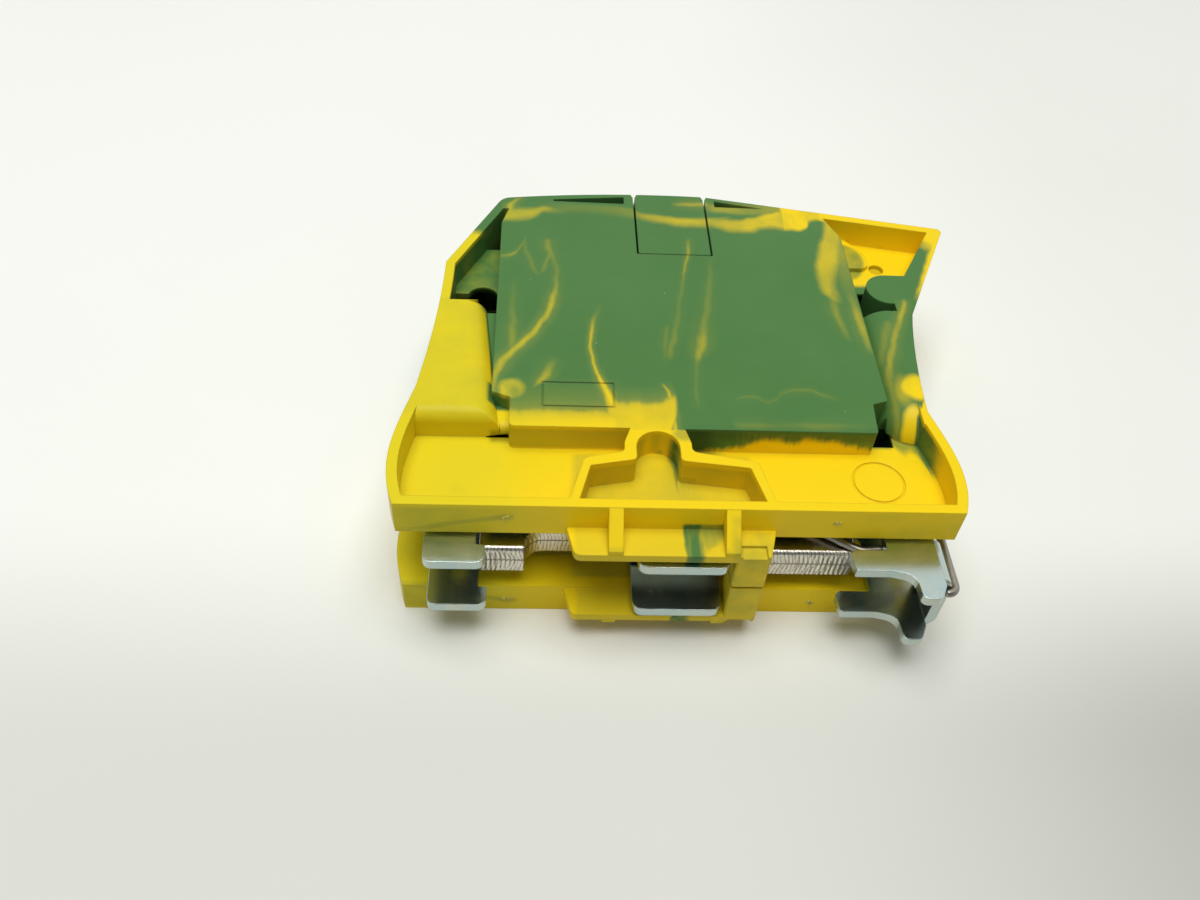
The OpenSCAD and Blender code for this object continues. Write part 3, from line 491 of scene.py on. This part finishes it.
def lug_green(m):
    """The stain that runs over the lug and down its front."""
    x, y, u = m.x, m.y, m.u
    stain = veil(y, u, [(1.6, 25.8, 27.6, 0.4), (0.4, 25.8, 27.7, 0.95), (-1.5, 25.8, 27.6, 0.95),
                        (-3.6, 26, 27.7, 0.95)], m.down, 0.2, 0.5)
    tint = between(x, 16, 33, 0.3) * ramp(y, 0.2, -0.3) * 0.2
    spread = veil(y, x, [(1.6, 26.5, 29.8, 0.2), (0.4, 26.5, 30, 0.68), (-1.4, 26.5, 29.3, 0.58),
                         (-2.4, 26.5, 28.3, 0.4), (-3.6, 26.5, 27.5, 0.1)], m.down)
    return stain | tint | spread


def walls_green(m, face):
    """The share of green on the walls and floors below the face, and the mask of painted shade inside the
    block.
    """
    x, y, z, v, swirl = m.x, m.y, m.z, m.v, m.swirl
    outer = ramp(z, 13, 11.5)
    left_pocket = ramp(x + swirl * 1.2, 8.4, 7.9) * ramp(y + swirl * (outer * 7 + 2), 26.5, 28)
    groove = ramp(x + (y - 22) * 0.09, 6.8, 7.3) * ramp(x, 8.6, 8.3)
    groove = groove * between(y, 15.8, 30.5, 0.6) * ramp(z, 15, 14.4)
    # Green on the notch walls beside the noses: partly the plastic's green, partly painted shade
    notch_green_and_shade = (
        between(x, 45.2, 47.4, 0.4) * between(y, 10.6, 14.5, 0.4)
        | between(x, 7.6, 10.2, 0.3) * between(y, 13.4, 16.3, 0.3)
    )
    flank = ramp(x, 46, 46.7) * between(y + swirl * (outer * 6 + 1), 9.6, 35.7, 0.5)
    flank = flank * ~(m.lobe | m.right_lines)
    flank = flank * (ramp(z, 12.95, 13.1) | ramp(y, 12.5, 13.5))
    top_slots = between(x, 8.5, 40.5, 0.5) * ramp(y, 35.5, 36.5)
    pad = blob(x, y, (47.5, 39.8), (2.6, 3.1), 0.12) * ramp(z, 14.2, 14) * (m.cloudy * 0.7 + 0.62)
    front_wall = front_wall_green(m)
    # A green smear down the rim's inner wall beside the right nose: partly a stain, partly painted shade
    smear_and_shade = ramp(y + swirl * 3 + m.fringe * 2, 6.6, 9.6) * ramp(x - m.wall_edge, -0.3, -0.1)
    smear_and_shade = smear_and_shade * ramp(y, 15, 14) * 0.95
    fringe_edge = curve(x, [
        (47.2, 11.6), (47.7, 10.4), (48.4, 9.5), (49.2, 9.9), (49.7, 9.8), (50.2, 8.3), (51, 7.5)])
    floor_fringe = ramp(v + m.fringe * 1.2 + m.cloudy * 1.5 - fringe_edge, -0.4, 1.1)
    floor_fringe = floor_fringe * between(x, 47.4, 51.4, 0.3) * 0.72 * ramp(y, 13, 12) * ramp(z, 13.2, 13)
    arch = arch_green(m) * ramp(z, 16, 15.5)
    lug = lug_green(m) * ramp(z, 14, 13.6)
    front = largest([
        wisp(x, z, [(-1, 12, 0.6, 0.1), (2.2, 12.7, 0.6, 0.35), (5.8, 13.6, 0.5, 0.42),
                    (8.1, 14.1, 0.45, 0.45), (9.7, 14.4, 0.5, 0.5), (10.8, 14.5, 0.4, 0)], m.across),
        ramp(x, 15, 2) * (swirl * 0.5 + 0.2),
        between(x, 41, 53, 2) * (swirl * 0.4 + 0.06),
    ])
    block_ends = between(x, 30, 35, 0.4) * ramp(y, 0, -0.5) * (swirl + 0.3)
    # Painted shade: the inside of the block, below the floors of the recesses, is painted dark green
    inside = between(x, 5, 49.5, 0.3) * between(y, 7.5, 40, 0.5) * ramp(z, 12.8, 12.5)
    skirt = face * ramp(z + m.fringe * 3 + swirl * 4, 9.5, 13.5)
    skirt = skirt * (ramp(y, 38, 42) | ramp(x, 6, 4.5) | ramp(x, 50.5, 52))
    in_wing = ramp(x, 46.6, 46.9) * ramp(m.band_edge - x, 0.6, 1) * ramp(y + (x - 45) * 0.28, 45, 44.6)
    walls = largest([
        left_pocket * (swirl * 0.7 + 0.95), groove, notch_green_and_shade, flank, top_slots, pad, front_wall, smear_and_shade,
        floor_fringe, arch, lug, front * ramp(y, 0.6, 0.2), block_ends, inside, skirt * ~in_wing,
        m.left_tint, ramp(swirl, 0.05, 0.5) * 0.15])
    return walls, inside


def plastic(name, turned_over):
    """Marbled yellow and green plastic, with painted shade in its hollows and inside. The lower half is
    turned over, with a run of its own.
    """
    s = Surface(name)
    x, y, z = s.x, s.y, s.z
    if turned_over:
        z = s.z * -1 + THICKNESS
        x = x + s.noise((0.12, 0.12, 0.12), 1, (4, 4, 4)) * 3
    m = flow(s, x, y, z)
    face = face_green(m)
    walls, painted_shade = walls_green(m, face)
    green = (walls + (face - walls) * ramp(z, *FACE_STARTS) | 0) & 1

    gloom = GLOOM_LOWER if turned_over else GLOOM_UPPER
    # Painted shade in the hollow around the foot, below the gloom level
    painted_shade = painted_shade | between(x, 8, 49.5, 0.3) * between(y, 2.6, 7.6, 0.8) * ramp(z, gloom, gloom - 0.3)
    # Painted shade on the front wall of the panel
    painted_shade = painted_shade | between(x, 27, 46, 0.5) * between(y, 9.2, 10.4, 0.2) * between(z, 14.6, 15.8, 0.5) * 0.32
    for x_range, y_range, levels, share in SHADED:
        painted_shade = painted_shade | between(x, *x_range) * between(y, *y_range) * ramp(z, *levels) * share
    cloud = s.noise((0.12, 0.08, 0.12), 3, (2, 2, 2))
    grain = s.noise((9, 9, 9), 2)
    sink = s.noise((0.5, 0.5, 0.5), 1, (5, 1, 3))

    greens = s.mix(cloud * 1.2 + m.swirl * 0.6 + 0.5, GREEN, LIGHT_GREEN)
    yellows = s.mix(ramp(x + cloud * 12, 5, 19), LEMON, GOLDEN)
    # Where painted shade lies, the colour goes to the near-black green
    colour = s.mix(painted_shade, s.mix(green, yellows, greens), PAINTED_SHADE_GREEN)

    cells = s.tree.nodes.new("ShaderNodeTexVoronoi")
    feed(cells.inputs["Vector"], s.place)
    cells.inputs["Scale"].default_value = 0.42
    tone = s.tree.nodes.new("ShaderNodeSeparateColor")
    feed(tone.inputs[0], cells.outputs["Color"])
    specks = ramp(Field(cells.outputs["Distance"]), 0.03, 0.012) * ramp(Field(tone.outputs[0]), 0.66, 0.68)
    colour = s.mix(specks * 0.7, colour, SPECK)

    s.set(base_color=colour, roughness=m.swirl * 0.1 + (grain * 0.1 + 0.42), specular_ior_level=0.18)
    s.relief(grain * 0.2 + sink, 0.01, 0.2)
    return s.material


# Metals

TOOTH = 0.36
ZINC_BLUE = (0.42, 0.55, 0.56)
ZINC_YELLOW = (0.58, 0.60, 0.52)
ZINC_PIT = (0.16, 0.17, 0.15)
TIN_DULL = (0.64, 0.60, 0.52)
TIN_BRIGHT = (0.80, 0.77, 0.69)
TIN_PIT = (0.13, 0.10, 0.06)
WIRE_DARK = (0.21, 0.195, 0.165)
WIRE_LIGHT = (0.38, 0.355, 0.30)


def zinc(name):
    """Bright zinc on sheet steel, with a blue and yellow passivated bloom."""
    s = Surface(name)
    bloom = s.noise((0.35, 0.5, 0.35), 3)
    grain = s.noise((7, 7, 7), 4)
    rolled = s.noise((0.5, 6, 6), 2, (3, 3, 3))
    colour = s.mix(bloom * 2 + grain * 1.2 + 0.5, ZINC_BLUE, ZINC_YELLOW)
    colour = s.mix(ramp(grain, 0.1, 0.24) * 0.16, colour, ZINC_PIT)
    s.set(base_color=colour, metallic=1.0, roughness=grain * 0.18 + (bloom * 0.12 + 0.22))
    s.relief(grain + rolled * 0.6, 0.003, 0.14)
    return s.material


def tin(name):
    """Tin plating on punched copper. The cut faces that look to the front have fine upright teeth."""
    s = Surface(name)
    bloom = s.noise((0.5, 0.5, 0.5), 3)
    grain = s.noise((7, 7, 5), 3)
    facing = s.tree.nodes.new("ShaderNodeSeparateXYZ")
    feed(facing.inputs[0], s.tree.nodes.new("ShaderNodeNewGeometry").outputs["True Normal"])
    torn = ramp(Field(facing.outputs[1]), -0.3, -0.6)
    lean = abs(s.z - SEAM) * 0.22 + s.noise((0.6, 0.6, 0.6), 1) * 0.5
    teeth = abs(((s.x + lean + grain * 0.15) / TOOTH).calc("FRACT") - 0.5) * 2
    seam = ramp(abs(s.z - SEAM + grain * 0.1), 0.16, 0.06)
    colour = s.mix(bloom * 1.6 + 0.5, TIN_DULL, TIN_BRIGHT)
    pits = (ramp(teeth + grain * 1.6, 0.38, 0.05) | seam) * torn
    colour = s.mix(pits * 0.72, colour, TIN_PIT)
    s.set(base_color=colour, metallic=1.0, roughness=grain * 0.24 + (torn * 0.1 + 0.22))
    s.relief(grain * 0.4 + teeth * torn * 0.5, 0.03, 0.14)
    return s.material


def spring_steel(name):
    """Dark drawn spring wire."""
    s = Surface(name)
    grain = s.noise((6, 6, 6), 3)
    colour = s.mix(grain + 0.5, WIRE_DARK, WIRE_LIGHT)
    s.set(base_color=colour, metallic=1.0, roughness=grain * 0.2 + 0.36)
    s.relief(grain, 0.003, 0.1)
    return s.material


steel = zinc("zinc_plate")
tinned = tin("tin_plate")
wire_steel = spring_steel("spring_steel")
finishes = {
    "upper_shell": plastic("marbled_upper", False),
    "lower_shell": plastic("marbled_lower", True),
    "contact_plate_upper": tinned,
    "contact_plate_lower": tinned,
    "current_bar": tinned,
    "latch_spring": wire_steel,
}
for name, node in nodes.items():
    node.data.materials.clear()
    node.data.materials.append(finishes.get(name, steel))


# Pieces

def add(name, mesh, material):
    """A new piece made from a bmesh."""
    data = bpy.data.meshes.new(name)
    bmesh.ops.recalc_face_normals(mesh, faces=mesh.faces)
    mesh.to_mesh(data)
    mesh.free()
    data.polygons.foreach_set("use_smooth", [True] * len(data.polygons))
    data.materials.append(material)
    piece = bpy.data.objects.new(name, data)
    scene.collection.objects.link(piece)
    return piece


def loft(mesh, rings):
    """A closed skin through rings of points."""
    rows = [[mesh.verts.new(at(*p)) for p in ring] for ring in rings]
    for row, after in zip(rows, rows[1:]):
        for i in range(len(row)):
            j = (i + 1) % len(row)
            mesh.faces.new((row[i], row[j], after[j], after[i]))
    mesh.faces.new(rows[0][::-1])
    mesh.faces.new(rows[-1])


# The spring wire, bent between the housing and the latch
WIRE = 0.4
WIRE_LEVEL = 10.225
WIRE_SIDES = 16
WIRE_BENDS = [(32.3, 6.3, 0), (43, 0, 1.5), (45.5, 0.3, 2), (50.89, 3, 0.9), (50.89, -4.65, 0.8),
              (49.79, -4.65, 0)]
BEND_STEPS = 8

# Rings at a cut end of the wire: how far in from the end, and the share of its radius
CUT_END = [(0, 0.6), (0.1, 0.88), (0.25, 1)]


def bent_line(bends):
    """Points along a line with rounded bends (x, y, radius)."""
    points = [Vector(bends[0][:2])]
    for before, bend, after in zip(bends, bends[1:], bends[2:]):
        corner = Vector(bend[:2])
        back = (Vector(before[:2]) - corner).normalized()
        on = (Vector(after[:2]) - corner).normalized()
        half = back.angle(on) / 2
        middle = corner + (back + on).normalized() * bend[2] / math.sin(half)
        first = corner + back * bend[2] / math.tan(half) - middle
        turn = first.angle_signed(corner + on * bend[2] / math.tan(half) - middle)
        for i in range(BEND_STEPS + 1):
            angle = -turn * i / BEND_STEPS
            c, s = math.cos(angle), math.sin(angle)
            points.append(middle + Vector((c * first.x - s * first.y, s * first.x + c * first.y)))
    return points + [Vector(bends[-1][:2])]


line = bent_line(WIRE_BENDS)
rings = []
for i, point in enumerate(line):
    along = (line[min(i + 1, len(line) - 1)] - line[max(i - 1, 0)]).normalized()
    sideways = Vector((-along.y, along.x))
    steps = [(0, 1)]
    if i == 0:
        steps = CUT_END
    elif i == len(line) - 1:
        steps = [(-shift, size) for shift, size in reversed(CUT_END)]
    for shift, size in steps:
        ring = []
        for k in range(WIRE_SIDES):
            angle = math.tau * k / WIRE_SIDES
            spot = point + along * shift + sideways * WIRE * size * math.cos(angle)
            ring.append((spot.x, spot.y, WIRE_LEVEL + WIRE * size * math.sin(angle)))
        rings.append(ring)
mesh = bmesh.new()
loft(mesh, rings)
spring = add("spring_wire", mesh, wire_steel)
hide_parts("latch_spring")
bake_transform(spring)

# The gate marks, torn off short on the front edges of the shells, with their places (x, z).
# Each is a stack of rings (height, share of the radius)
GATES = [(9.9, 14.3), (39.8, 14.3), (9.8, 1.8), (39.8, 1.7)]
GATE_RINGS = [(-0.05, 1.1), (0.02, 1), (0.1, 0.8), (0.13, 0.5), (0.09, 0.2)]
GATE_RADIUS = 0.36
GATE_SIDES = 14
GATE_OLIVE = (0.36, 0.36, 0.05)
GATE_YELLOW = (0.84, 0.68, 0.07)

gate = Surface("gate_mark")
torn = gate.noise((5, 5, 5), 3)
gate.set(base_color=gate.mix(ramp(torn, -0.15, 0.2), GATE_OLIVE, GATE_YELLOW), roughness=torn * 0.2 + 0.5)
gate.relief(torn, 0.04, 0.05)
mesh = bmesh.new()
for n, (x, z) in enumerate(GATES):
    rings = []
    for out, size in GATE_RINGS:
        ring = []
        for k in range(GATE_SIDES):
            angle = math.tau * k / GATE_SIDES
            uneven = 1 + 0.2 * math.sin(2 * angle + n) + 0.12 * math.sin(3 * angle + 2 * n)
            reach = GATE_RADIUS * size * uneven
            rough = 0.03 * math.sin(5 * angle + n) if size < 1 else 0
            ring.append((x + reach * math.cos(angle), -out - rough, z + reach * math.sin(angle)))
        rings.append(ring)
    loft(mesh, rings)
marks = add("gate_marks", mesh, gate.material)
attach(marks, "housing")

# Table and light

TABLE_PALE = (0.96, 0.965, 0.9)
TABLE_SHADED = (0.5, 0.51, 0.445)
TABLE_BOUNCE = (0.62, 0.625, 0.58)
TABLE_SIZE = 4

table = Surface("pale_table")
# Painted shade on the table: its colour darkens towards the front and the right of the part
nearer = ramp(table.y, 14, -16)
right_of = ramp(table.x, 25, 100)
cloud = table.noise((0.02, 0.02, 0.02), 2)
shade = nearer * 0.5 + right_of * 0.18 + nearer * right_of * 0.45 + cloud * 0.1
pale = table.mix(shade, TABLE_PALE, TABLE_SHADED)
rays = table.tree.nodes.new("ShaderNodeLightPath")
seen = largest([Field(rays.outputs[f"Is {kind} Ray"]) for kind in ("Camera", "Glossy")])
table.set(base_color=table.mix(seen, TABLE_BOUNCE, pale), roughness=0.7, specular_ior_level=0.2)
bpy.ops.mesh.primitive_plane_add(size=TABLE_SIZE)
floor = bpy.context.object
floor.name = "table"
floor.data.materials.append(table.material)

# The studio is dim by itself. The camera and the metals see its white walls, and its dark end in front
AMBIENT = 0.2
WALLS = 0.95
DARK_END = 0.1
TO_DARK_END = (0.05, -0.67, 0.74)
WALL_TINT = (0.96, 1, 1, 1)
world = bpy.data.worlds.new("studio")
world.use_nodes = True
background = world.node_tree.nodes["Background"]
background.inputs["Color"].default_value = WALL_TINT
toward = world.node_tree.nodes.new("ShaderNodeVectorMath")
toward.operation = "DOT_PRODUCT"
feed(toward.inputs[0], world.node_tree.nodes.new("ShaderNodeTexCoord").outputs["Generated"])
toward.inputs[1].default_value = TO_DARK_END
walls = ramp(Field(toward.outputs["Value"]), 0.9, 0.3) * (WALLS - DARK_END) + DARK_END
rays = world.node_tree.nodes.new("ShaderNodeLightPath")
seen = largest([Field(rays.outputs[f"Is {kind} Ray"]) for kind in ("Camera", "Glossy", "Transmission")])
feed(background.inputs["Strength"], seen * (walls - AMBIENT) + AMBIENT)
scene.world = world


def softbox(name, place, size, watts):
    """A square lamp that faces the part."""
    lamp = bpy.data.objects.new(name, bpy.data.lights.new(name, "AREA"))
    lamp.data.size = size
    lamp.data.energy = watts
    lamp.location = place
    lamp.rotation_euler = (-lamp.location).to_track_quat("-Z", "Y").to_euler()
    scene.collection.objects.link(lamp)


softbox("ceiling", place=Vector((-0.02, -0.05, 0.85)), size=0.6, watts=6.7)
